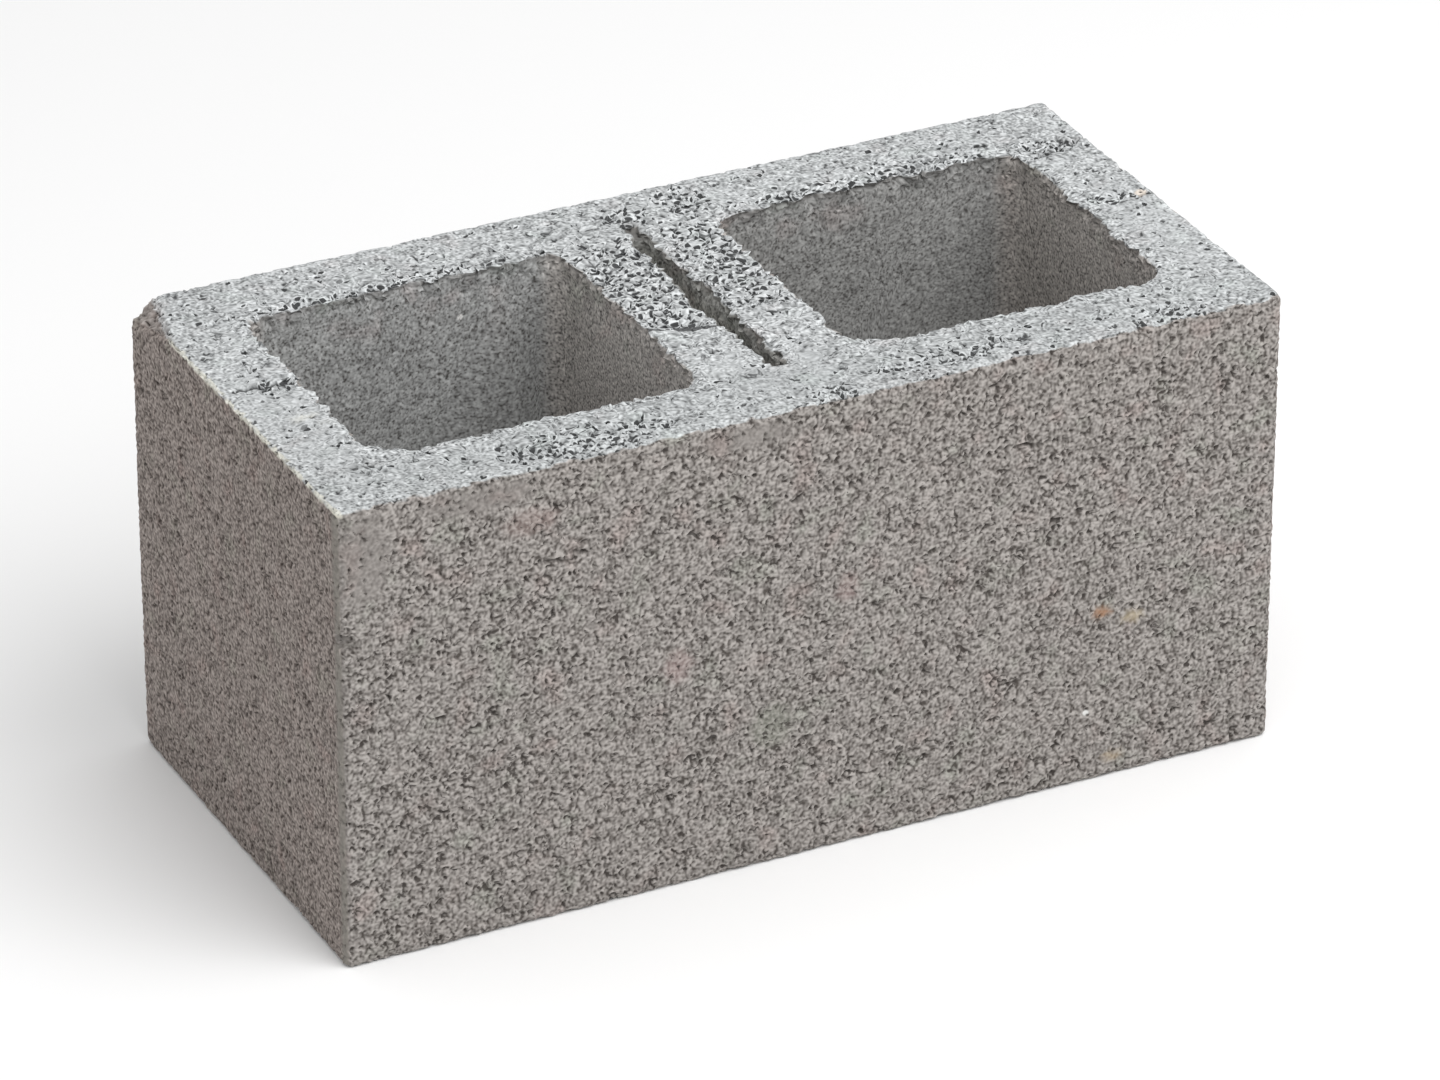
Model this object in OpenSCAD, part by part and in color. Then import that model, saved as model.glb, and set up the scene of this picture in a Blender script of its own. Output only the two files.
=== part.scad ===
// Hollow two-core concrete masonry block with flush ends and a splitting slot in its middle web.
// Millimetres, +Z up. The origin is the middle of the bottom bed face, +X runs along the length,
// and the face at -Y is the front.

/* [Block] */
// Length of the block
block_l = 397; // [385:1:405]
// Width of the block, from front face to back face
block_w = 194; // [185:1:200]
// Height of the block
block_h = 194; // [90:1:200]
// Radius of the four upright outside corners
outer_r = 2.5; // [1.5:0.5:5]

/* [Cores] */
// Thickness of the front and back face shells at the top bed
face_shell = 35; // [32:0.5:40]
// Thickness of the two end webs at the top bed
end_web = 32; // [28:0.5:38]
// Thickness of the middle web at the top bed, with its slot
middle_web = 65; // [56:0.5:70]
// Radius of a core's upright corners at the top bed
core_r = 13; // [8:0.5:20]
// How much further each core wall stands in at the bottom bed, so that the mould strips off
core_draft = 2; // [1:0.25:3]

/* [Splitting slot] */
// Width of the slot at the top bed
slot_top_w = 6.5; // [6.5:0.25:9]
// Width of the slot at the bottom bed
slot_bottom_w = 5.75; // [5.5:0.25:6.5]
// Length of the slot across the block
slot_l = 122; // [100:1:124]

/* [Broken corner] */
// Reach of the break along the back top edge
chip_x = 10; // [4:1:20]
// Reach of the break along the left top edge
chip_y = 42; // [10:1:60]
// Reach of the break down the back left corner
chip_z = 9; // [4:1:20]

/* [Hidden] */
$fn = 64;
// How far a cutter runs past the faces it opens
past = 5;
// Size of one core at the top bed, and how far its middle lies from the block's middle
core_l = (block_l - middle_web) / 2 - end_web;
core_w = block_w - 2 * face_shell;
core_x = (middle_web + core_l) / 2;
// A drafted wall's inward step for each millimetre of height
draft_slope = core_draft / block_h;
slot_slope = (slot_top_w - slot_bottom_w) / 2 / block_h;

// A box of size l by w by h on the ground, its upright corners rounded to radius r
module rounded_box(l, w, h, r) {
    translate([-l / 2, -w / 2 + r, 0]) cube([l, w - 2 * r, h]);
    translate([-l / 2 + r, -w / 2, 0]) cube([l - 2 * r, w, h]);
    for (x = [-1, 1], y = [-1, 1])
        translate([x * (l / 2 - r), y * (w / 2 - r), 0]) cylinder(h = h, r = r);
}

// A wedge with a level top: half_w wide each side at the top bed, narrowing downwards by slope,
// and long along Y. It runs past the block at both ends of its height.
module drafted_slab(half_w, long, slope) {
    top = half_w + slope * past;
    bottom = half_w - slope * (block_h + past);
    rotate([90, 0, 0])
        translate([0, 0, -long / 2])
            linear_extrude(height = long)
                polygon([[-top, block_h + past], [top, block_h + past], [bottom, -past], [-bottom, -past]]);
}

// The space that one core of the mould leaves: straight walls with draft, and conical corners
module core_space() {
    straight_l = core_l / 2 - core_r;
    straight_w = core_w / 2 - core_r;
    drafted_slab(core_l / 2, 2 * straight_w, draft_slope);
    rotate([0, 0, 90]) drafted_slab(core_w / 2, 2 * straight_l, draft_slope);
    for (x = [-1, 1], y = [-1, 1])
        translate([x * straight_l, y * straight_w, -past])
            cylinder(
                h = block_h + 2 * past,
                r1 = core_r - draft_slope * (block_h + past),
                r2 = core_r + draft_slope * past
            );
}

// The narrow slot through the middle web, where the block is split into two halves
module split_slot() {
    drafted_slab(slot_top_w / 2, slot_l, slot_slope);
}

// The piece broken off the top back left corner, cut by one plane through its three reaches
module broken_corner() {
    normal = [-1 / chip_x, 1 / chip_y, 1 / chip_z];
    depth = 1 / norm(normal);
    side = 4 * max(chip_x, chip_y, chip_z);
    translate([-block_l / 2, block_w / 2, block_h])
        rotate([0, acos(normal.z / norm(normal)), atan2(normal.y, normal.x)])
            translate([-side / 2, -side / 2, -depth])
                cube([side, side, side]);
}

module concrete_block() {
    color([0.57, 0.55, 0.53])
        difference() {
            rounded_box(block_l, block_w, block_h, outer_r);
            for (x = [-1, 1]) translate([x * core_x, 0, 0]) core_space();
            split_slot();
            broken_corner();
        }
}

concrete_block();
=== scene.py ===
# A hollow two-core concrete block with a slot for splitting it, its bed worn and one corner broken.
# Metres, in the frame of the part: +X along the length, the front face at -Y, +Z up from the bottom bed.
from math import radians

import bpy
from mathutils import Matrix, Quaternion, Vector


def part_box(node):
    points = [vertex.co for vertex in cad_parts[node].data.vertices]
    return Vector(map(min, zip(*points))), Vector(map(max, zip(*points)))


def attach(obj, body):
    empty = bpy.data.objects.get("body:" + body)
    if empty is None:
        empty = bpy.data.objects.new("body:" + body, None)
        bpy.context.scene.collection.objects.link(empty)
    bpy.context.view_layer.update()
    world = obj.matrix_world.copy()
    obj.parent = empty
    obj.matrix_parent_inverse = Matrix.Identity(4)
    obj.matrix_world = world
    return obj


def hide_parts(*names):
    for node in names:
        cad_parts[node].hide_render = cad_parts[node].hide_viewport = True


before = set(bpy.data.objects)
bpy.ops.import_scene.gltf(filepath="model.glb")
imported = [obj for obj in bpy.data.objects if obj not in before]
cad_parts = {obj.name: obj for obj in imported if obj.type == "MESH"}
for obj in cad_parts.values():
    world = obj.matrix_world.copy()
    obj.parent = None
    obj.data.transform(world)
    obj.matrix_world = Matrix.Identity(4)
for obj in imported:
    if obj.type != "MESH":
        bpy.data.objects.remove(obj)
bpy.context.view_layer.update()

MM = 0.001
LOW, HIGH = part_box("concrete_block")
MIDDLE = (LOW + HIGH) / 2
LENGTH, WIDTH = (HIGH - LOW).xy

# The block's own sizes at the top bed
FACE_SHELL = 35 * MM
END_WEB = 32 * MM
MIDDLE_WEB = 65 * MM
CORE_LENGTH = (LENGTH - MIDDLE_WEB) / 2 - END_WEB
CORE_WIDTH = WIDTH - 2 * FACE_SHELL
CORE_X = (MIDDLE_WEB + CORE_LENGTH) / 2
CORE_RADIUS = 12 * MM
CORE_DRAFT = 2 * MM
# The front left corner of each core is cut across, this far along the length and the width
CORE_CUT = Vector((19, 9)) * MM
SLOT_WIDTH = 6.5 * MM
SLOT_LENGTH = 122 * MM
CORNER_RADIUS = 2.5 * MM

# How far the broken corner reaches along the back edge, the left edge and the upright edge
BREAK_REACH = (Vector((10, 0, 0)) * MM, Vector((0, -42, 0)) * MM, Vector((0, 0, -9)) * MM)
# How uneven a bitten edge is, as a share of the bite's smallest half size
BITE_UNEVEN = 0.05
# How far a cutter runs past the faces that it opens
PAST = 5 * MM

# The blank starts this much inside the part, since meshing it can swell it by as much
SPARE = 0.12 * MM
BLANK_LOW = LOW + Vector((SPARE, SPARE, SPARE))
BLANK_HIGH = HIGH - Vector((SPARE, SPARE, SPARE))
# How fine the mesh is while it is worked, and how many triangles it is brought down to
WORKING_MESH = 1.0 * MM
TRIANGLES = 194000
# The inside and the bottom bed, named by a vertex group, are thinned first, to this share of the whole
THIN_GROUP = "thin"
FIRST_THINNING = 0.6
# Faces that meet at less than this angle are shaded as one surface
SMOOTH_ANGLE = radians(50)

# Sizes of what the concrete is made of, and of what is missing from it
STONE = 2.35 * MM
SAND = 1.27 * MM
SPECK = 0.9 * MM
VOID = 3.2 * MM
CRUMB = 5 * MM
PINHOLE = 3.0 * MM
PRICK = 2.1 * MM

# Sizes of its broader patches: looser mix, pink or green tint, lighter clouds, blotches
LOOSE_PATCH = 15 * MM
TINT_PATCH = 14 * MM
CLOUD = 26 * MM
BLOTCH = 5 * MM
# How much calmer the grains are than on the faces: inside, on the bed, on smooth paste, on the ends
CALM_INSIDE, CALM_BED, CALM_SMOOTH, CALM_END = 0.45, 0.34, 0.6, 0.05

# How deep each kind of wear goes in from the cast surface, and how broad the uneven kinds are
HOLE_DEPTH = 1.3 * MM
LINE_DEPTH = 1.3 * MM
EDGE_DEPTH = 0.2 * MM
GRAIN_DEPTH = 0.4 * MM
STEP_DEPTH = 0.6 * MM
WAVE_DEPTH, WAVE_SIZE = 0.2 * MM, 45 * MM
CHIP_DEPTH, CHIP_SIZE = 2.0 * MM, 5 * MM
TEAR_DEPTH, TEAR_SIZE = 0.5 * MM, 2.6 * MM
RUBBLE_DEPTH, RUBBLE_SIZE = 2.2 * MM, 4.5 * MM
# The finest relief is only in the material, as bump
BUMP_DEPTH = 0.6 * MM
# The rims of the cores and the slot wander broadly and sharply: size, and reach from side to side
BROAD_WANDER = (9 * MM, 9 * MM)
SHARP_WANDER = (3.2 * MM, 7 * MM)

# Places on the block, in millimetres. Bites broken out of edges: middle and half sizes
BITES = [
    ((-3.2, 0, 194), (3.4, 13, 9)),
    ((-3.0, -11, 194), (3.0, 5, 6)),
    ((3.0, 7, 194), (2.2, 12, 5)),
    ((2.8, -52, 194), (2.0, 7, 4)),
    ((-2.6, -56, 194), (2.0, 5, 3)),
    ((0.5, 64, 194.5), (3.2, 5, 4)),
    ((-199, -98, 140), (8, 8, 2.3)),
    ((-196, -98, 136), (5, 3, 1.5)),
    ((138, -96.5, 194), (5, 3, 2.5)),
    ((149, -94, 195), (6, 1.8, 2.4)),
    ((160, -96, 195), (5, 2.5, 2.6)),
    ((6, -97, 195), (6, 3.5, 2.5)),
]
# Where the bed was left open and torn: middle and half sizes along and across the block
OPEN_PLACES = [
    ((-18, 18), (22, 58)),
    ((20, 24), (20, 56)),
    ((1, 76), (13, 12)),
    ((30, 82), (14, 13)),
    ((-176, 8), (18, 7)),
    ((182, 6), (16, 7)),
    ((-88, -84), (48, 13)),
    ((8, -91), (10, 9)),
    ((152, -90), (22, 9)),
    ((-110, 64), (70, 5)),
    ((100, 65), (70, 6)),
    ((118, 66), (30, 9)),
    ((60, -84), (40, 8)),
    ((180, 60), (14, 10)),
]
# The torn bed of the middle web stops at a step along this line, and the bed in front of it is whole
STEP = (Vector((-34, -16)), Vector((-2, -25)))
# Lines that the mould left on the bed: start, end and half width
BED_LINES = [
    ((-190, 10), (-165, 7), 1.1),
    ((172, 50), (198, 60), 0.9),
    ((170, 0), (196, 5), 0.8),
]
# Rows of pits along the front face: start and end along and up the block, and half width
FACE_LINES = [
    ((-116, 153), (-96, 155), 1.3),
    ((-24, 154), (20, 156), 1.5),
    ((52, 157), (114, 153), 1.3),
]
# Places where the paste is smoother: middle and half size
SMOOTH_PLACES = [
    ((-188, -97, 172), (14, 12, 26)),
    ((-140, -97, 186), (30, 12, 7)),
    ((-30, -97, 186), (24, 12, 6)),
    ((-198.5, -95, 97), (2.5, 5, 200)),
    ((0, -60, 194), (34, 34, 12)),
    ((-182, -24, 194), (19, 76, 12)),
    ((184, -20, 194), (17, 72, 12)),
]

# Colours of the gaps between grains and of the grains, on the faces, the ends, the inside and the bed
# The dark colours of the gaps are partly painted shade, standing in for the shade of the low hollows
# between grains
FACE_GAPS, FACE_GRAINS = (0.077, 0.067, 0.060, 1), (0.400, 0.373, 0.352, 1)
END_GAPS, END_GRAINS = (0.075, 0.060, 0.053, 1), (0.395, 0.346, 0.318, 1)
# The bed's gaps and grains are painted lighter and bluer than the sides, as painted light from above
INNER_GAPS, BED_GAPS_LIT = (0.09, 0.088, 0.085, 1), (0.12, 0.124, 0.125, 1)
# The core walls, and the inside gaps above, are painted lighter than the faces: partly a paler paste,
# partly painted light. The core end walls are lighter still, as painted light
CORE_GRAINS_PALE_AND_LIT, CORE_END_GRAINS_LIT = (0.54, 0.547, 0.542, 1), (0.74, 0.70, 0.665, 1)
# The slot is painted lighter deep down, as painted light, and darker near its top, as painted shade
SLOT_GRAINS_LIT, SLOT_TOP_GRAINS_SHADED = (0.88, 0.87, 0.82, 1), (0.50, 0.50, 0.475, 1)
# Painted light from above on the bed, a little less over the front shell
BED_GRAINS_LIT, BED_FRONT_GRAINS_LIT = (0.735, 0.757, 0.764, 1), (0.648, 0.670, 0.675, 1)
# Colours that multiply what they lie on
RIGHT_CORE_SHADE = (0.87, 0.86, 0.85, 1)
PINK_CLOUD, GREEN_CLOUD = (1.04, 0.97, 0.965, 1), (0.97, 1.02, 0.98, 1)
# Colours that partly cover what they lie on
BROKEN_STONE, GREY_STRIP = (0.33, 0.28, 0.26, 1), (0.225, 0.225, 0.200, 1)
# Painted highlight for the top arris of the left end
CREAM_ARRIS_HIGHLIGHT = (0.72, 0.70, 0.60, 1)
# Painted shade for the voids, gaps, pinholes and grooves, which is also the colour of the dark specks
FACE_SHADE_AND_SPECKS, BED_SHADE_AND_SPECKS = (0.060, 0.052, 0.047, 1), (0.035, 0.036, 0.037, 1)
# Stains, and one patch of painted shade at the back end of the slot: middle, half size, colour and
# strength
STAINS_AND_SLOT_SHADE = [
    ((122, -97, 74), (6, 4, 3), (0.33, 0.17, 0.09), 0.75),
    ((136, -97, 69), (6, 4, 3), (0.45, 0.38, 0.26), 0.6),
    ((128, -97, 9), (6, 4, 3), (0.36, 0.27, 0.16), 0.5),
    ((-194, -97, 138), (6, 5, 2), (0.07, 0.065, 0.055), 0.6),
    # Painted shade over the back end of the slot, not a stain
    ((0, 65, 192), (5, 6, 6), (0.11, 0.11, 0.105), 0.8),
    ((-178, -22, 194), (7, 1.3, 4), (0.70, 0.69, 0.62), 0.7),
    ((-168, -30, 194), (5, 1.2, 4), (0.70, 0.69, 0.62), 0.6),
    ((-120, -97, 172), (14, 6, 7), (0.36, 0.27, 0.25), 0.3),
    ((-60, -97, 96), (7, 6, 9), (0.36, 0.26, 0.25), 0.4),
    ((12, -97, 112), (6, 6, 8), (0.36, 0.26, 0.25), 0.35),
    ((-20, -97, 60), (12, 6, 12), (0.24, 0.26, 0.21), 0.35),
]
# Odd pale grains: middle, half size and colour
PALE_GRAINS = [
    ((116, -97, 31), (1.8, 4, 1.5), (0.72, 0.72, 0.70, 1)),
    ((193, 6, 194), (3.2, 3.6, 4), (0.74, 0.66, 0.58, 1)),
    ((-75, 62, 174.5), (1.5, 5, 1.5), (0.78, 0.77, 0.75, 1)),
]


# ---------------------------------------------------------------- modelling helpers
def deselect():
    if bpy.context.object and bpy.context.object.mode != "OBJECT":
        bpy.ops.object.mode_set(mode="OBJECT")
    bpy.ops.object.select_all(action="DESELECT")


def work_on(piece):
    """Makes the piece the only selected one, and the active one."""
    deselect()
    piece.select_set(True)
    bpy.context.view_layer.objects.active = piece


def box(name, low, high):
    """A cube brought to its size and place, ready for edit mode."""
    deselect()
    bpy.ops.mesh.primitive_cube_add(size=1, location=(low + high) / 2, scale=high - low)
    bpy.ops.object.transform_apply(location=True, rotation=True, scale=True)
    piece = bpy.context.object
    piece.name = name
    return piece


def pick(piece, kind, test):
    """Opens edit mode with only the vertices, edges or faces whose middle passes the test."""
    mesh = piece.data
    for part in (*mesh.vertices, *mesh.edges, *mesh.polygons):
        part.select = False
    if kind == "VERT":
        for vertex in mesh.vertices:
            vertex.select = test(vertex.co)
    elif kind == "EDGE":
        for edge in mesh.edges:
            start, end = (mesh.vertices[i].co for i in edge.vertices)
            edge.select = test((start + end) / 2)
    else:
        for face in mesh.polygons:
            face.select = test(face.center)
    bpy.context.tool_settings.mesh_select_mode = (kind == "VERT", kind == "EDGE", kind == "FACE")
    bpy.ops.object.mode_set(mode="EDIT")


def leave_edit():
    bpy.ops.object.mode_set(mode="OBJECT")


def everything(at):
    return True


def half_way_up(at):
    """True for the middles of upright edges."""
    return abs(at.z - MIDDLE.z) < MM


def cut_off(piece, at, outward):
    """Cuts the piece along a plane, closes the cut and takes away what lies outward of it."""
    pick(piece, "FACE", everything)
    bpy.ops.mesh.bisect(plane_co=at, plane_no=outward, use_fill=True, clear_outer=True)
    leave_edit()


def apply_modifier(piece, kind, **settings):
    work_on(piece)
    modifier = piece.modifiers.new(kind.lower(), kind)
    for name, value in settings.items():
        setattr(modifier, name, value)
    bpy.ops.object.modifier_apply(modifier=modifier.name)


def cut(piece, cutter):
    """Takes the cutter's volume out of the piece."""
    apply_modifier(piece, "BOOLEAN", operation="DIFFERENCE", solver="MANIFOLD", object=cutter)
    bpy.data.objects.remove(cutter)


# ---------------------------------------------------------------- the cast block
def blank():
    """The outside of the block, with its four upright corners rounded."""
    piece = box("block", BLANK_LOW, BLANK_HIGH)
    pick(piece, "EDGE", half_way_up)
    bpy.ops.mesh.bevel(offset=CORNER_RADIUS, segments=4, affect="EDGES")
    leave_edit()
    return piece


def core(side):
    """The space of one core: wider at the top bed, with its front left corner cut across."""
    half = Vector((CORE_LENGTH, CORE_WIDTH, 0)) / 2
    centre = Vector((side * CORE_X, 0, 0))
    low = centre - half + Vector((0, 0, LOW.z - PAST))
    high = centre + half + Vector((0, 0, HIGH.z + PAST))
    piece = box("core", low, high)
    pick(piece, "FACE", lambda at: at.z < LOW.z)
    narrow = [(size - CORE_DRAFT * 2) / size for size in (CORE_LENGTH, CORE_WIDTH)]
    bpy.ops.transform.resize(value=(*narrow, 1))
    leave_edit()
    pick(piece, "EDGE", lambda at: half_way_up(at) and (at.x > centre.x or at.y > 0))
    bpy.ops.mesh.bevel(offset=CORE_RADIUS, segments=6, affect="EDGES")
    leave_edit()
    cut_off(piece, low + Vector((CORE_CUT.x, 0, 0)), (-CORE_CUT.y, -CORE_CUT.x, 0))
    return piece


def slot():
    """The space that the splitting blade leaves in the middle web."""
    half = Vector((SLOT_WIDTH, SLOT_LENGTH, 0)) / 2
    low = Vector((0, 0, LOW.z - PAST)) - half
    high = Vector((0, 0, HIGH.z + PAST)) + half
    return box("slot", low, high)


def bite(at, size, seed):
    """An uneven stone shape, to be taken out of the block where a piece has broken away."""
    deselect()
    bpy.ops.mesh.primitive_ico_sphere_add(subdivisions=4, radius=1, location=at)
    piece = bpy.context.object
    piece.scale = size
    bpy.ops.object.transform_apply(location=True, rotation=True, scale=True)
    pick(piece, "VERT", everything)
    bpy.ops.transform.vertex_random(offset=BITE_UNEVEN * min(size), seed=seed)
    leave_edit()
    return piece


def break_corner(piece):
    """Breaks off the back left corner of the top bed, through three points on its edges."""
    corner = Vector((LOW.x, HIGH.y, HIGH.z))
    on_back, on_left, on_upright = (corner + reach for reach in BREAK_REACH)
    outward = (on_left - on_back).cross(on_upright - on_back).normalized()
    if outward.dot(corner - on_back) < 0:
        outward = -outward
    cut_off(piece, on_back, outward)
    return on_back, outward


def cast_block():
    piece = blank()
    broken_at = break_corner(piece)
    for side in (-1, 1):
        cut(piece, core(side))
    cut(piece, slot())
    for number, (at, size) in enumerate(BITES):
        cut(piece, bite(Vector(at) * MM, Vector(size) * MM, number))
    return piece, *broken_at


# ---------------------------------------------------------------- wiring for relief and materials
class Wiring:
    """Adds nodes to a tree and wires them. The relief and the material use the same ones."""

    def __init__(self, tree):
        self.tree = tree

    def add(self, kind, inputs=(), **settings):
        node = self.tree.nodes.new(kind)
        for name, value in settings.items():
            setattr(node, name, value)
        for key, value in dict(inputs).items():
            self.feed(node.inputs[key], value)
        return node

    def feed(self, socket, value):
        if isinstance(value, bpy.types.NodeSocket):
            self.tree.links.new(value, socket)
        else:
            socket.default_value = value

    def math(self, operation, a, b=0.0):
        return self.add("ShaderNodeMath", {0: a, 1: b}, operation=operation).outputs[0]

    def chain(self, operation, values):
        """Joins any number of values, two at a time from the first."""
        found = values[0]
        for value in values[1:]:
            found = self.math(operation, found, value)
        return found

    def times(self, *values):
        return self.chain("MULTIPLY", values)

    def plus(self, *values):
        return self.chain("ADD", values)

    def most(self, *values):
        return self.chain("MAXIMUM", values)

    def rest(self, share):
        """What a share leaves of 1."""
        return self.math("SUBTRACT", 1.0, share)

    def vector(self, operation, a, b=(0, 0, 0), scale=1.0):
        node = self.add("ShaderNodeVectorMath", {0: a, 1: b, 3: scale}, operation=operation)
        return node.outputs[1] if operation in ("DOT_PRODUCT", "LENGTH") else node.outputs[0]

    def length(self, a, b):
        """The length of the long side of a right angle whose sides are a and b."""
        return self.math("SQRT", self.plus(self.times(a, a), self.times(b, b)))

    def keep(self, mesh, name, value, kind):
        """Stores a value on each point of the mesh, under a name."""
        node = self.add("GeometryNodeStoreNamedAttribute", {"Geometry": mesh, "Name": name},
                        data_type=kind, domain="POINT")
        self.feed(node.inputs["Value"], value)
        return node.outputs[0]

    def kept(self, name, output="Fac"):
        """Reads what the mesh stored under a name."""
        return self.add("ShaderNodeAttribute", attribute_name=name).outputs[output]

    def split(self, vector):
        return self.add("ShaderNodeSeparateXYZ", {0: vector}).outputs

    def join(self, x, y, z):
        return self.add("ShaderNodeCombineXYZ", {0: x, 1: y, 2: z}).outputs[0]

    def ramp(self, value, start, end, low=0.0, high=1.0):
        """A smooth step from low to high as value goes from start to end."""
        inputs = {0: value, 1: start, 2: end, 3: low, 4: high}
        return self.add("ShaderNodeMapRange", inputs, interpolation_type="SMOOTHSTEP").outputs[0]

    def noise(self, place, size, detail=2.0, roughness=0.5, distortion=0.0, colour=False):
        inputs = {"Vector": place, "Scale": 1 / size, "Detail": detail, "Roughness": roughness,
                  "Distortion": distortion}
        node = self.add("ShaderNodeTexNoise", inputs)
        return node.outputs[1] if colour else node.outputs[0]

    def drift(self, place, size, reach, detail=2.0, roughness=0.5):
        """A vector that changes smoothly from place to place, by up to half the reach each way."""
        found = self.noise(place, size, detail, roughness, colour=True)
        return self.vector("SCALE", self.vector("SUBTRACT", found, (0.5, 0.5, 0.5)), scale=reach)

    def cells(self, place, size, dimensions="3D"):
        """The distance to the middle of the nearest cell, and that cell's own random colour."""
        inputs = {"Vector": place, "Scale": 1 / size}
        return self.add("ShaderNodeTexVoronoi", inputs, voronoi_dimensions=dimensions).outputs[:2]

    def mix(self, share, a, b, blend="MIX"):
        """Colour a, with the share of colour b over it."""
        node = self.add("ShaderNodeMix", data_type="RGBA", blend_type=blend)
        for socket, value in zip((0, 6, 7), (share, a, b)):
            self.feed(node.inputs[socket], value)
        return node.outputs[2]


# ---------------------------------------------------------------- shares of a place, from 0 to 1
def within(w, value, low, high, soft):
    """1 between low and high, falling to 0 outside them."""
    return w.times(w.ramp(value, low - soft, low), w.ramp(value, high + soft, high))


def oval(w, x, y, at, size):
    """1 in the middle of an upright oval column round a place on the bed, falling to 0 at its edge."""
    across = w.times(w.plus(x, -at[0] * MM), 1 / (size[0] * MM))
    along = w.times(w.plus(y, -at[1] * MM), 1 / (size[1] * MM))
    return w.ramp(w.length(across, along), 1.0, 0.5)


def blob(w, place, at, size):
    """1 in the middle of a stain, an odd grain or a smooth place, falling to 0 outside it."""
    away = w.vector("SUBTRACT", place, tuple(Vector(at) * MM))
    away = w.vector("DIVIDE", away, tuple(Vector(size) * MM))
    return w.ramp(w.vector("LENGTH", away), 1.0, 0.5)


def groove(w, x, y, start, end, half_width):
    """1 on a line drawn on a face, falling to 0 at its half width."""
    length = Vector(end) - Vector(start)
    unit = length.normalized()
    from_x, from_y = w.plus(x, -start[0] * MM), w.plus(y, -start[1] * MM)
    along = w.plus(w.times(from_x, unit.x), w.times(from_y, unit.y))
    along = w.math("MINIMUM", w.most(along, 0.0), length.length * MM)
    off_x = w.plus(from_x, w.times(along, -unit.x))
    off_y = w.plus(from_y, w.times(along, -unit.y))
    return w.ramp(w.length(off_x, off_y), half_width * MM, 0.2 * half_width * MM)


def grooves(w, x, y, drawn):
    """1 on any of the lines drawn on a face."""
    return w.most(0.0, *[groove(w, x, y, *line) for line in drawn])


def behind_step(w, x, y):
    """How far a point lies behind the step in the bed of the middle web, and 1 left of the slot."""
    start, end = STEP
    along = (end - start).normalized()
    from_x, from_y = w.plus(x, -start.x * MM), w.plus(y, -start.y * MM)
    behind = w.plus(w.times(from_x, -along.y), w.times(from_y, along.x))
    return behind, within(w, x, -MIDDLE_WEB / 2, -SLOT_WIDTH / 2, 2 * MM)


# ---------------------------------------------------------------- what the concrete is made of
def packing(w, place):
    """Stones and sand packed together: low in the gaps between them, high on top of them."""
    stones = w.cells(w.vector("ADD", place, (0.3, 0.7, 0.1)), STONE)[0]
    return w.plus(w.times(w.noise(place, SAND, 0.0), 0.8), w.times(stones, -0.38), 0.30)


def looseness(w, place, torn):
    """How open the mix is: it runs in patches, and is open where the bed was torn."""
    patches = w.noise(w.vector("MULTIPLY", place, (1, 1, 1.6)), LOOSE_PATCH, 2, 0.6, 0.5)
    return w.plus(w.ramp(patches, 0.38, 0.66, -0.03, 0.04), w.times(torn, 0.05))


def large_voids(w, place, loose):
    """Voids some millimetres across, long and curved."""
    flat = w.vector("MULTIPLY", place, (1.0, 1.0, 1.4))
    return w.ramp(w.plus(w.noise(flat, VOID, 1.0, 0.5, 1.2), loose), 0.66, 0.72)


def crumbly(w, place, loose):
    """1 along thin curves some millimetres long, lying mostly flat, where grains have fallen out."""
    flat = w.vector("MULTIPLY", place, (1, 1, 1.35))
    ridge = w.math("ABSOLUTE", w.plus(w.noise(flat, CRUMB, 1, 0.5, 0.8), -0.5))
    chance = w.plus(w.noise(w.vector("ADD", flat, (3, 1, 2)), 4 * MM, 1), loose)
    return w.times(w.ramp(ridge, 0.11, 0.05), w.ramp(chance, 0.53, 0.60))


def pinholes(w, place, torn):
    """Holes about two millimetres across in the bed, crowded where it was torn, and a ring of painted
    highlight round each.
    """
    place = w.vector("ADD", place, w.drift(place, 1.8 * MM, 0.9 * MM, detail=0))
    away, colour = w.cells(place, PINHOLE, "2D")
    chance, reach = w.split(colour)[:2]
    there = w.ramp(w.plus(chance, w.times(torn, -0.85)), 0.09, 0.06)
    away = w.plus(away, w.times(reach, -0.22), w.times(torn, -0.04))
    hole = w.ramp(away, 0.23, 0.15)
    # A ring of painted highlight round each hole
    rim_highlight = w.times(w.ramp(away, 0.18, 0.28), w.ramp(away, 0.46, 0.30))
    return w.times(there, hole), w.times(there, rim_highlight)


def pricks(w, place):
    """Fine dark points between the pinholes of the bed."""
    away, colour = w.cells(place, PRICK, "2D")
    return w.times(w.ramp(away, 0.32, 0.18), w.ramp(w.split(colour)[0], 0.42, 0.36))


# ---------------------------------------------------------------- relief
def ragged(w, place, value):
    """Moves a value to and fro by up to a few millimetres, so that a straight line comes out ragged."""
    return w.plus(value, w.times(w.plus(w.noise(place, 7 * MM, 1), -0.5), 6 * MM))


def standing_out(w, place, normal):
    """How far a point stands out from its surroundings: 1 on a sharp edge, 0 on the flat."""
    blur = w.add("GeometryNodeBlurAttribute", {"Iterations": 6}, data_type="FLOAT_VECTOR")
    vector_in = [socket for socket in blur.inputs if socket.type == "VECTOR"][0]
    vector_out = [socket for socket in blur.outputs if socket.type == "VECTOR"][0]
    w.feed(vector_in, place)
    out = w.vector("DOT_PRODUCT", w.vector("SUBTRACT", place, vector_out), normal)
    return w.ramp(out, 0.08 * MM, 0.75 * MM)


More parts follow.
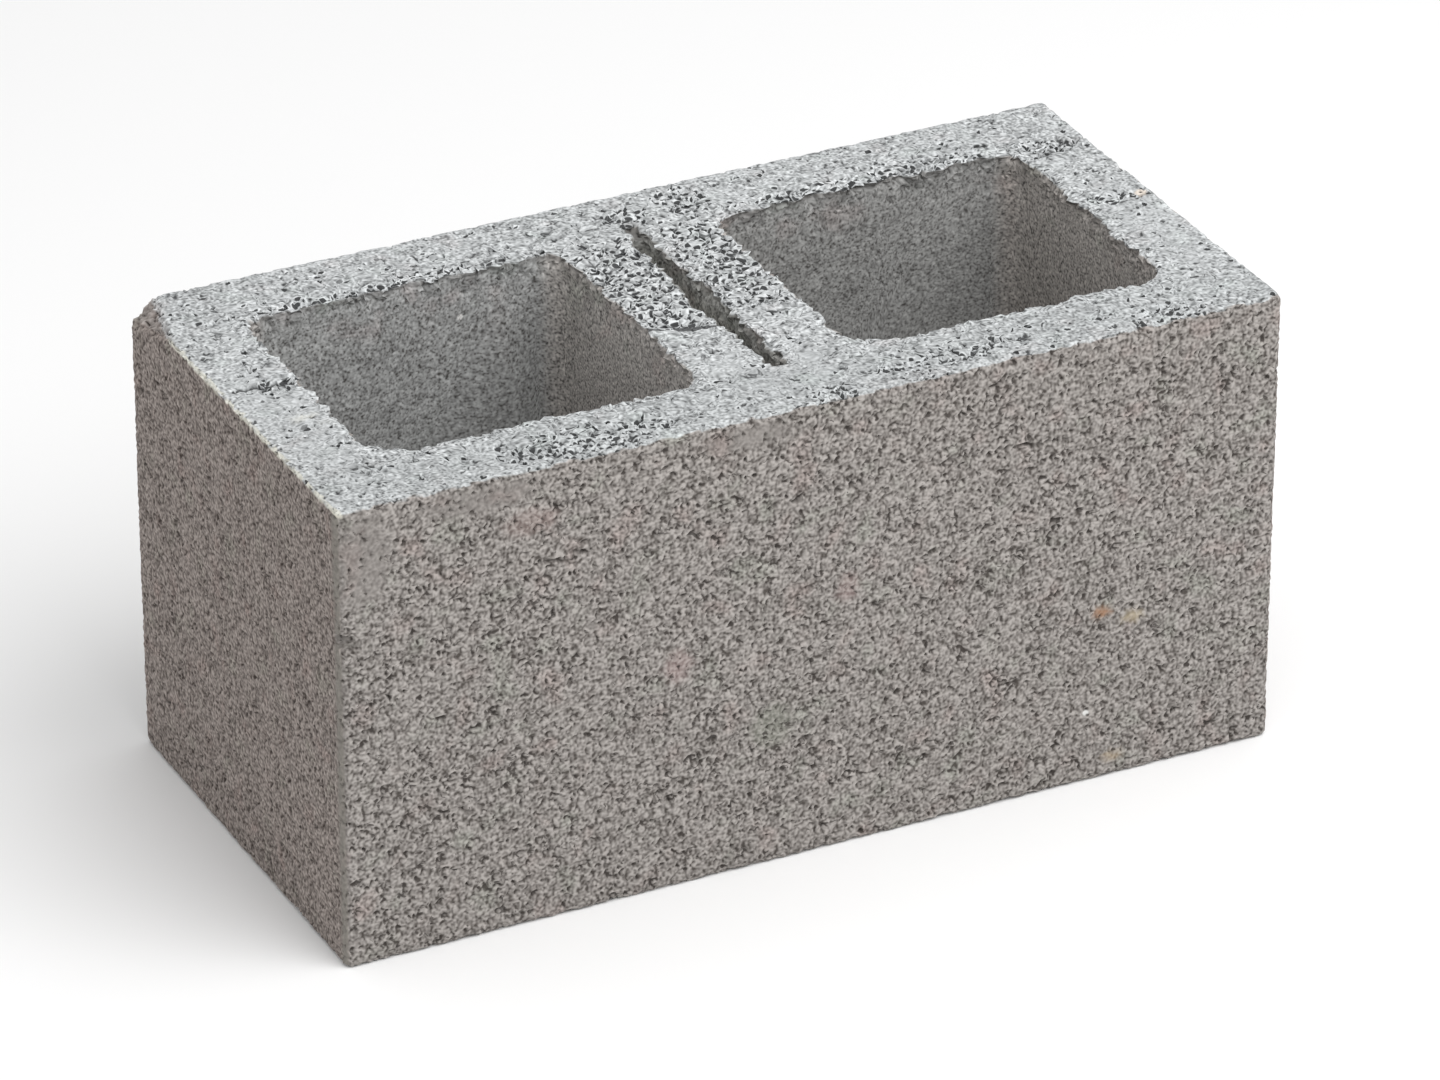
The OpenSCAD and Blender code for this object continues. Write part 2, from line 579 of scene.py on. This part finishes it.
def rim_wander(w, place, x, y, z):
    """How far the rims of the cores and the slot are moved sideways, near the top bed only."""
    near_top = w.ramp(z, HIGH.z - 9 * MM, HIGH.z - MM)
    off_edge = w.times(w.ramp(w.math("ABSOLUTE", x), LENGTH / 2 - 8 * MM, LENGTH / 2 - 20 * MM),
                       w.ramp(w.math("ABSOLUTE", y), WIDTH / 2 - 8 * MM, WIDTH / 2 - 20 * MM))
    broad = w.drift(w.join(x, y, 0.0), *BROAD_WANDER, roughness=0.6)
    sharp = w.drift(place, *SHARP_WANDER, roughness=0.6)
    level = w.vector("MULTIPLY", w.vector("ADD", broad, sharp), (1, 1, 0))
    return w.vector("SCALE", level, scale=w.times(near_top, off_edge))


def stains_and_slot_shade(w, place):
    """The colour that the stains and the painted shade at the slot's end add at a point, and the share of
    its own colour that is left.
    """
    drifted = w.vector("ADD", place, w.drift(place, 4 * MM, 5 * MM))
    added, unstained_unshaded = (0.0, 0.0, 0.0), 1.0
    for at, size, colour, strength in STAINS_AND_SLOT_SHADE:
        share = w.times(blob(w, drifted, at, size), strength)
        left = w.rest(share)
        added = w.vector("SCALE", added, scale=left)
        added = w.vector("ADD", added, w.vector("SCALE", colour, scale=share))
        unstained_unshaded = w.times(left, unstained_unshaded)
    return added, unstained_unshaded


def inside(w, x, y, z):
    """1 on the walls of the cores and the slot, falling to 0 near the top bed."""
    side_x, side_y = w.math("ABSOLUTE", x), w.math("ABSOLUTE", y)
    in_core = w.times(within(w, side_x, CORE_X - CORE_LENGTH / 2, CORE_X + CORE_LENGTH / 2, 2 * MM),
                      within(w, side_y, -CORE_WIDTH / 2, CORE_WIDTH / 2, 2 * MM))
    in_slot = w.times(w.ramp(side_x, SLOT_WIDTH, SLOT_WIDTH / 2 + MM),
                      w.ramp(side_y, SLOT_LENGTH / 2 + 3 * MM, SLOT_LENGTH / 2 + MM))
    return w.times(w.most(in_core, in_slot), w.ramp(z, HIGH.z - 8 * MM, HIGH.z - 20 * MM))


def torn_bed(w, x, y, drawn_y, on_bed):
    """How torn the bed is, and how far it drops behind the step in the middle web."""
    behind, left_of_slot = behind_step(w, x, drawn_y)
    whole = w.times(left_of_slot, w.ramp(behind, 0.4 * MM, -0.4 * MM))
    drop = w.times(left_of_slot, w.ramp(behind, -0.4 * MM, 0.4 * MM), w.ramp(behind, 16 * MM, 3 * MM))
    torn = w.most(0.0, *[oval(w, x, y, at, size) for at, size in OPEN_PLACES])
    return w.times(torn, on_bed, w.rest(whole)), w.times(drop, on_bed)


def drawn_lines(w, place, drawn_y, on_bed, grains):
    """1 on the lines of the bed, and in the rows of pits on the front face."""
    x, y, z = w.split(place)
    bed_lines = w.times(grooves(w, x, drawn_y, BED_LINES), on_bed)
    pit_rows = w.times(grooves(w, x, ragged(w, place, z), FACE_LINES),
                       w.ramp(y, LOW.y + 4 * MM, LOW.y + 2 * MM),
                       w.ramp(grains, 0.60, 0.46), w.ramp(w.noise(place, 4 * MM, 1), 0.38, 0.48))
    return w.most(bed_lines, pit_rows)


def store(w, mesh, place, numbers):
    """Stores the numbers on the mesh, with the skin's place, its stains and the painted shade at the
    slot's end, and its broad patches.
    """
    added, unstained_unshaded = stains_and_slot_shade(w, place)
    patches = {
        "smooth": w.most(0.0, *[blob(w, place, at, size) for at, size in SMOOTH_PLACES]),
        "tint": w.noise(w.vector("ADD", place, (5, 5, 5)), TINT_PATCH, 2, 0.5),
        "cloud": w.noise(place, CLOUD, 3, 0.6),
        "blotch": w.noise(place, BLOTCH, 2, 0.6),
        "unstained_unshaded": unstained_unshaded,
    }
    for name, value in {**numbers, **patches}.items():
        mesh = w.keep(mesh, name, value, "FLOAT")
    for name, value in {"skin": place, "stain_and_shade": added}.items():
        mesh = w.keep(mesh, name, value, "FLOAT_VECTOR")
    return mesh


def worn_surface(break_point, break_normal):
    """The relief of the cast surface: waves, ragged rims, worn edges, voids and stones."""
    tree = bpy.data.node_groups.new("worn surface", "GeometryNodeTree")
    for way in ("INPUT", "OUTPUT"):
        tree.interface.new_socket("Mesh", in_out=way, socket_type="NodeSocketGeometry")
    w = Wiring(tree)
    mesh = w.add("NodeGroupInput").outputs[0]
    place = w.add("GeometryNodeInputPosition").outputs[0]
    normal = w.add("GeometryNodeInputNormal").outputs[0]
    x, y, z = w.split(place)

    # Where a point is: on the walls inside, on the bed, on an edge, on the broken corner
    inner = inside(w, x, y, z)
    on_bed = w.ramp(z, HIGH.z - 5 * MM, HIGH.z - MM)
    edge = standing_out(w, place, normal)
    off_break = w.vector("SUBTRACT", place, tuple(break_point))
    off_break = w.vector("DOT_PRODUCT", off_break, tuple(break_normal))
    broken = w.ramp(off_break, -1.6 * MM, -0.4 * MM)

    # Voids, gaps and pinholes. The inside and the bed are calmer than the faces
    grains = packing(w, place)
    drawn_y = ragged(w, place, y)
    torn, drop = torn_bed(w, x, y, drawn_y, on_bed)
    lines = drawn_lines(w, place, drawn_y, on_bed, grains)
    calm = w.most(w.times(inner, 0.9), w.times(w.ramp(z, HIGH.z - 2 * MM, HIGH.z - MM), 0.4))
    patchy = looseness(w, place, torn)
    loose = w.plus(patchy, w.times(calm, -0.1))
    gaps = w.times(crumbly(w, place, loose), w.ramp(grains, 0.50, 0.40))
    holes = w.most(large_voids(w, place, loose), w.times(gaps, 0.7))
    holes = w.times(holes, w.rest(w.times(inner, 0.9)))
    pins = w.times(pinholes(w, place, torn)[0], w.ramp(z, HIGH.z - 1.5 * MM, HIGH.z - 0.6 * MM))

    # Everything that takes the surface inwards
    waves = w.ramp(w.noise(place, WAVE_SIZE, 2), 0.35, 0.65)
    chips = w.ramp(w.noise(place, CHIP_SIZE, 3, 0.6), 0.45, 0.75)
    rubble = w.ramp(w.noise(place, RUBBLE_SIZE, 3, 0.65), 0.3, 0.7)
    tears = w.ramp(w.noise(place, TEAR_SIZE, 1), 0.62, 0.38)
    depth = w.plus(w.times(w.most(holes, pins), HOLE_DEPTH),
                   w.times(waves, WAVE_DEPTH),
                   w.times(edge, w.plus(w.times(chips, CHIP_DEPTH), EDGE_DEPTH)),
                   w.times(w.ramp(grains, 0.70, 0.30), w.rest(calm), GRAIN_DEPTH),
                   w.times(tears, torn, TEAR_DEPTH),
                   w.times(drop, STEP_DEPTH),
                   w.times(lines, LINE_DEPTH),
                   w.times(broken, rubble, RUBBLE_DEPTH))
    inwards = w.vector("SCALE", normal, scale=w.times(depth, -1.0))
    offset = w.vector("ADD", inwards, rim_wander(w, place, x, y, z))

    # What the material and the thinning read from the mesh
    numbers = {"edge": edge, "void": holes, "line": lines, "torn": torn, "loose": patchy, "broken": broken,
               "drawn_y": drawn_y, THIN_GROUP: w.most(inner, w.times(w.ramp(z, 3 * MM, MM), 0.7))}
    mesh = store(w, mesh, place, numbers)

    # The surface moves, and stays inside the blank
    target = w.vector("MINIMUM", w.vector("ADD", place, offset), tuple(BLANK_HIGH))
    target = w.vector("MAXIMUM", target, tuple(BLANK_LOW))
    moved = w.add("GeometryNodeSetPosition", {"Geometry": mesh, "Position": target})
    w.feed(w.add("NodeGroupOutput").inputs[0], moved.outputs[0])
    return tree


def press_back(piece):
    """Brings the few points that thinning pushed out of the blank back onto its faces."""
    for axis in range(3):
        for wall, outward in ((LOW[axis] + SPARE, -1), (HIGH[axis] - SPARE, 1)):
            flat, centre = Vector((1, 1, 1)), MIDDLE.copy()
            flat[axis], centre[axis] = 0, wall
            pick(piece, "VERT", lambda at: (at[axis] - wall) * outward > 0)
            bpy.ops.transform.resize(value=flat, center_override=centre)
            leave_edit()


def weather(piece, break_point, break_normal):
    """Meshes the block evenly, works its surface, and thins what is flat or out of sight."""
    apply_modifier(piece, "REMESH", mode="VOXEL", voxel_size=WORKING_MESH)
    piece.vertex_groups.new(name=THIN_GROUP)
    apply_modifier(piece, "NODES", node_group=worn_surface(break_point, break_normal))
    apply_modifier(piece, "DECIMATE", ratio=FIRST_THINNING, vertex_group=THIN_GROUP,
                   vertex_group_factor=1.0)
    triangles = sum(len(face.vertices) - 2 for face in piece.data.polygons)
    apply_modifier(piece, "DECIMATE", ratio=TRIANGLES / triangles)
    press_back(piece)
    work_on(piece)
    bpy.ops.object.shade_smooth_by_angle(angle=SMOOTH_ANGLE)


# ---------------------------------------------------------------- concrete
class Zones:
    """A point of the finished surface: its place on the cast skin, and how much of it is in each zone."""

    def __init__(self, w):
        self.place = w.kept("skin", "Vector")
        self.x, self.y, self.z = x, y, z = w.split(self.place)
        self.side_x, side_y = w.math("ABSOLUTE", x), w.math("ABSOLUTE", y)
        self.smooth, self.blotches = w.kept("smooth"), w.plus(w.kept("blotch"), -0.5)
        off_floor = w.ramp(z, LOW.z + 0.5 * MM, LOW.z + 2 * MM)
        core_start, core_end = CORE_X - CORE_LENGTH / 2, CORE_X + CORE_LENGTH / 2
        in_core = w.times(within(w, self.side_x, core_start, core_end, 6 * MM),
                          w.ramp(side_y, CORE_WIDTH / 2 + 8 * MM, CORE_WIDTH / 2 + 4 * MM), off_floor)
        self.in_slot = w.times(w.ramp(self.side_x, 12 * MM, 8 * MM),
                               w.ramp(side_y, SLOT_LENGTH / 2 + 4 * MM, SLOT_LENGTH / 2 + MM), off_floor)
        self.inner = w.most(in_core, self.in_slot)
        self.on_end = w.ramp(self.side_x, LENGTH / 2 - 1.6 * MM, LENGTH / 2 - 0.6 * MM)
        # The bed's lighter, bluer colour is painted light from above; it stops at a ragged line along its
        # edges, further in near the right end
        lip = w.plus(z, w.times(w.noise(self.place, 3 * MM, 0), 1.2 * MM))
        further_in = w.ramp(x, 150 * MM, 165 * MM, 0, -1.2 * MM)
        behind_front = w.plus(y, -LOW.y, w.times(self.blotches, 10 * MM), further_in)
        self.on_bed = w.times(w.ramp(lip, HIGH.z - MM, HIGH.z), w.ramp(behind_front, -0.2 * MM, MM))
        self.calm = w.most(w.times(self.inner, CALM_INSIDE), w.times(self.on_end, CALM_END),
                           w.times(self.on_bed, CALM_BED), w.times(self.smooth, CALM_SMOOTH))


def lightness(w, zone, grains, speck, crumbs, pin_highlights, step_highlight):
    """How light the paste is, from 0 in the gaps to 1 on the grains, with painted highlights round the
    pinholes and on the lip of the step.
    """
    contrast = w.plus(1.85, w.times(crumbs, 0.9), w.times(zone.on_end, 0.1))
    light = w.times(w.plus(grains, -0.5), contrast, w.rest(zone.calm))
    fine = w.plus(0.1, w.times(zone.inner, 0.65), w.times(zone.on_bed, 0.4))
    light = w.plus(light, w.times(w.plus(speck, -0.5), fine), w.times(zone.on_bed, zone.blotches, 0.5),
                   w.times(pin_highlights, zone.on_bed, 0.25), w.times(step_highlight, 0.2),
                   w.times(w.plus(w.kept("cloud"), -0.5), 0.15), 0.5)
    return w.math("MINIMUM", w.most(light, 0.0), 1.0)


def plain_colour(w, zone, light):
    """The colour of clean concrete on each part of the block, with light and shade painted in: painted
    light on the bed, on the core walls and deep in the slot, painted shade in the right core and near the
    top of the slot.
    """
    gaps = w.mix(zone.on_end, FACE_GAPS, END_GAPS)
    grains = w.mix(zone.on_end, FACE_GRAINS, END_GRAINS)
    # The core end walls are painted lighter than the back walls, as painted light, and the right core
    # darker, as painted shade
    off_middle = w.math("ABSOLUTE", w.plus(zone.side_x, -CORE_X))
    end_wall = w.ramp(off_middle, CORE_LENGTH / 2 - 11 * MM, CORE_LENGTH / 2 - 3 * MM)
    right_core = w.ramp(zone.x, MIDDLE_WEB / 2, MIDDLE_WEB / 2 + 3 * MM)
    lit_and_shaded_core = w.mix(end_wall, CORE_GRAINS_PALE_AND_LIT, CORE_END_GRAINS_LIT)
    lit_and_shaded_core = w.mix(right_core, lit_and_shaded_core, RIGHT_CORE_SHADE, "MULTIPLY")
    # Painted light deep in the slot, painted shade near its top
    high_up = w.ramp(zone.z, HIGH.z - 14 * MM, HIGH.z - 2 * MM)
    lit_and_shaded_slot = w.mix(high_up, SLOT_GRAINS_LIT, SLOT_TOP_GRAINS_SHADED)
    # The bed is painted light from above, a little less over the front shell
    front_shell = w.ramp(zone.y, -CORE_WIDTH / 2 + 5 * MM, -CORE_WIDTH / 2 - 10 * MM)
    lit_bed = w.mix(front_shell, BED_GRAINS_LIT, BED_FRONT_GRAINS_LIT)
    gaps = w.mix(zone.on_bed, w.mix(zone.inner, gaps, INNER_GAPS), BED_GAPS_LIT)
    grains = w.mix(zone.in_slot, w.mix(zone.inner, grains, lit_and_shaded_core), lit_and_shaded_slot)
    grains = w.mix(zone.on_bed, grains, lit_bed)
    return w.mix(light, gaps, grains)


def discoloured(w, zone, colour):
    """Adds the clouds, the stains, the painted shade at the slot's end, the odd grains, the broken corner,
    the grey strip and a painted highlight on the arris.
    """
    tint, tinted = w.kept("tint"), w.rest(w.times(zone.on_bed, 0.6))
    colour = w.mix(w.times(w.ramp(tint, 0.55, 0.75), tinted), colour, PINK_CLOUD, "MULTIPLY")
    colour = w.mix(w.times(w.ramp(tint, 0.45, 0.25), tinted), colour, GREEN_CLOUD, "MULTIPLY")
    colour = w.vector("SCALE", colour, scale=w.kept("unstained_unshaded"))
    colour = w.vector("ADD", colour, w.kept("stain_and_shade", "Vector"))
    for at, size, pale in PALE_GRAINS:
        colour = w.mix(w.times(blob(w, zone.place, at, size), 0.9), colour, pale)
    colour = w.mix(w.times(w.kept("broken"), 0.3), colour, BROKEN_STONE)
    # A grey strip runs up the left end, beside the front face
    strip = w.times(zone.on_end, w.ramp(zone.x, 0.0, -MM), w.ramp(zone.y, LOW.y + 7 * MM, LOW.y + 3 * MM))
    colour = w.mix(w.times(strip, 0.5), colour, GREY_STRIP)
    # The top arris of the left end gets a pale cream painted highlight
    arris_highlight = w.times(w.ramp(zone.x, LOW.x + 3.5 * MM, LOW.x + 2 * MM),
                    w.ramp(zone.z, HIGH.z - 3 * MM, HIGH.z - 1.5 * MM),
                    w.ramp(zone.blotches, -0.14, 0.0), w.ramp(w.kept("edge"), 0.1, 0.4))
    return w.mix(w.times(arris_highlight, 0.6), colour, CREAM_ARRIS_HIGHLIGHT)


def hollow_shade_and_specks(w, zone, grains, speck, loose, crumbs, pins, lines):
    """How dark a point is painted, from 0 to 1: painted shade in the voids, gaps, pinholes, fine pricks,
    grooves, rows of pits and behind the step, the dark specks inside, and a darker band under the rims.
    """
    voids = w.most(w.times(w.kept("void"), 0.3), w.times(large_voids(w, zone.place, loose), 0.8))
    gaps = w.times(crumbs, w.ramp(grains, 0.50, 0.38), 0.8)
    specks = w.times(w.ramp(speck, 0.34, 0.26), zone.inner, 0.5)
    under_rim = w.times(zone.inner, w.ramp(zone.z, HIGH.z - 4 * MM, HIGH.z - 2 * MM), w.rest(zone.on_bed))
    return w.most(w.times(w.most(voids, gaps), w.rest(w.times(zone.inner, 0.7))),
                  w.times(pricks(w, zone.place), zone.on_bed, 0.45), specks,
                  w.times(pins, zone.on_bed, 0.95), w.times(under_rim, 0.4), w.times(lines, 0.85))


def concrete():
    material = bpy.data.materials.new("concrete")
    material.use_nodes = True
    shader = material.node_tree.nodes["Principled BSDF"]
    w = Wiring(material.node_tree)
    zone = Zones(w)
    grains, speck = packing(w, zone.place), w.noise(zone.place, SPECK, 0)

    # Grains fall out where the mix is loose, and less where it is calm
    loose = w.plus(w.kept("loose"), w.times(zone.calm, -0.12))
    firm = w.times(w.most(zone.inner, zone.on_end), 0.6)
    crumbs = w.times(crumbly(w, zone.place, loose), w.rest(firm))

    # The pinholes, the lines and the step of the bed
    pins, pin_highlights = pinholes(w, zone.place, w.kept("torn"))
    drawn_y = w.kept("drawn_y")
    behind, left_of_slot = behind_step(w, zone.x, drawn_y)
    # Painted shadow in a band just behind the step, and a painted highlight on the lip in front of it
    step_shadow = w.times(left_of_slot, within(w, behind, 0.5 * MM, 2.6 * MM, 0.5 * MM), zone.on_bed)
    step_highlight = w.times(left_of_slot, within(w, behind, -2.2 * MM, -0.4 * MM, 0.5 * MM), zone.on_bed)
    bed_lines = w.times(grooves(w, zone.x, drawn_y, BED_LINES), zone.on_bed)
    lines = w.most(w.kept("line"), bed_lines, step_shadow)

    light = lightness(w, zone, grains, speck, crumbs, pin_highlights, step_highlight)
    colour = discoloured(w, zone, plain_colour(w, zone, light))
    # How much each point is darkened: painted shade in the hollows, and dark specks
    shade_and_specks = hollow_shade_and_specks(w, zone, grains, speck, loose, crumbs, pins, lines)
    w.feed(shader.inputs["Base Color"], w.mix(shade_and_specks, colour, w.mix(zone.on_bed, FACE_SHADE_AND_SPECKS, BED_SHADE_AND_SPECKS)))
    w.feed(shader.inputs["Roughness"], w.ramp(speck, 0.2, 0.8, 0.86, 0.97))
    shader.inputs["Specular IOR Level"].default_value = 0.25

    # The finest relief, below what the mesh can hold
    top = w.ramp(zone.z, HIGH.z - MM, HIGH.z)
    even = w.most(w.times(zone.inner, CALM_INSIDE), w.times(top, CALM_BED),
                  w.times(zone.smooth, CALM_SMOOTH))
    height = w.times(grains, w.rest(even))
    bump = w.add("ShaderNodeBump", {"Height": height, "Distance": BUMP_DEPTH, "Strength": 0.7})
    w.feed(shader.inputs["Normal"], bump.outputs[0])
    return material


# ---------------------------------------------------------------- studio
def floor():
    deselect()
    bpy.ops.mesh.primitive_plane_add(size=14, location=(0, 0, LOW.z))
    piece = bpy.context.object
    piece.name = "floor"
    bpy.ops.object.transform_apply(location=True, rotation=True, scale=True)
    material = bpy.data.materials.new("pale floor")
    material.use_nodes = True
    shader = material.node_tree.nodes["Principled BSDF"]
    shader.inputs["Base Color"].default_value = (0.9, 0.9, 0.9, 1)
    shader.inputs["Roughness"].default_value = 0.9
    piece.data.materials.append(material)


def sky():
    world = bpy.data.worlds.new("studio")
    world.use_nodes = True
    background = world.node_tree.nodes["Background"]
    background.inputs["Color"].default_value = (1.0, 1.0, 1.0, 1)
    background.inputs["Strength"].default_value = 0.75
    bpy.context.scene.world = world


def lamp(name, direction, distance, size, power):
    """A square soft light that looks at the block from a direction."""
    deselect()
    away = Vector(direction).normalized()
    bpy.ops.object.light_add(type="AREA", location=MIDDLE + away * distance)
    light = bpy.context.object
    light.name = name
    light.data.size = size
    light.data.energy = power
    light.rotation_euler = away.to_track_quat("Z", "Y").to_euler()


def camera(aim, azimuth, elevation, distance, lens):
    """A camera that looks at a point from the front, turned by the azimuth and raised by the elevation."""
    flat = Quaternion((0, 0, 1), azimuth) @ Vector((0, -1, 0))
    away = Quaternion(flat.cross(Vector((0, 0, 1))), elevation) @ flat
    bpy.ops.object.camera_add(location=aim + away * distance)
    piece = bpy.context.object
    piece.name = "camera"
    piece.rotation_euler = away.to_track_quat("Z", "Y").to_euler()
    piece.data.lens = lens
    piece.data.sensor_width = 36
    bpy.context.scene.camera = piece


block, break_point, break_normal = cast_block()
weather(block, break_point, break_normal)
block.name = "weathered_block"
block.data.materials.clear()
block.data.materials.append(concrete())
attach(block, "root")
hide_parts("concrete_block")

floor()
sky()
lamp("key", direction=(0.35, -0.8, 1.3), distance=2.0, size=1.6, power=30)
camera(Vector((3.4, -5, 90)) * MM, radians(-26.5), radians(28.5), distance=3.2, lens=206.4)
bpy.context.scene.view_settings.view_transform = "Standard"
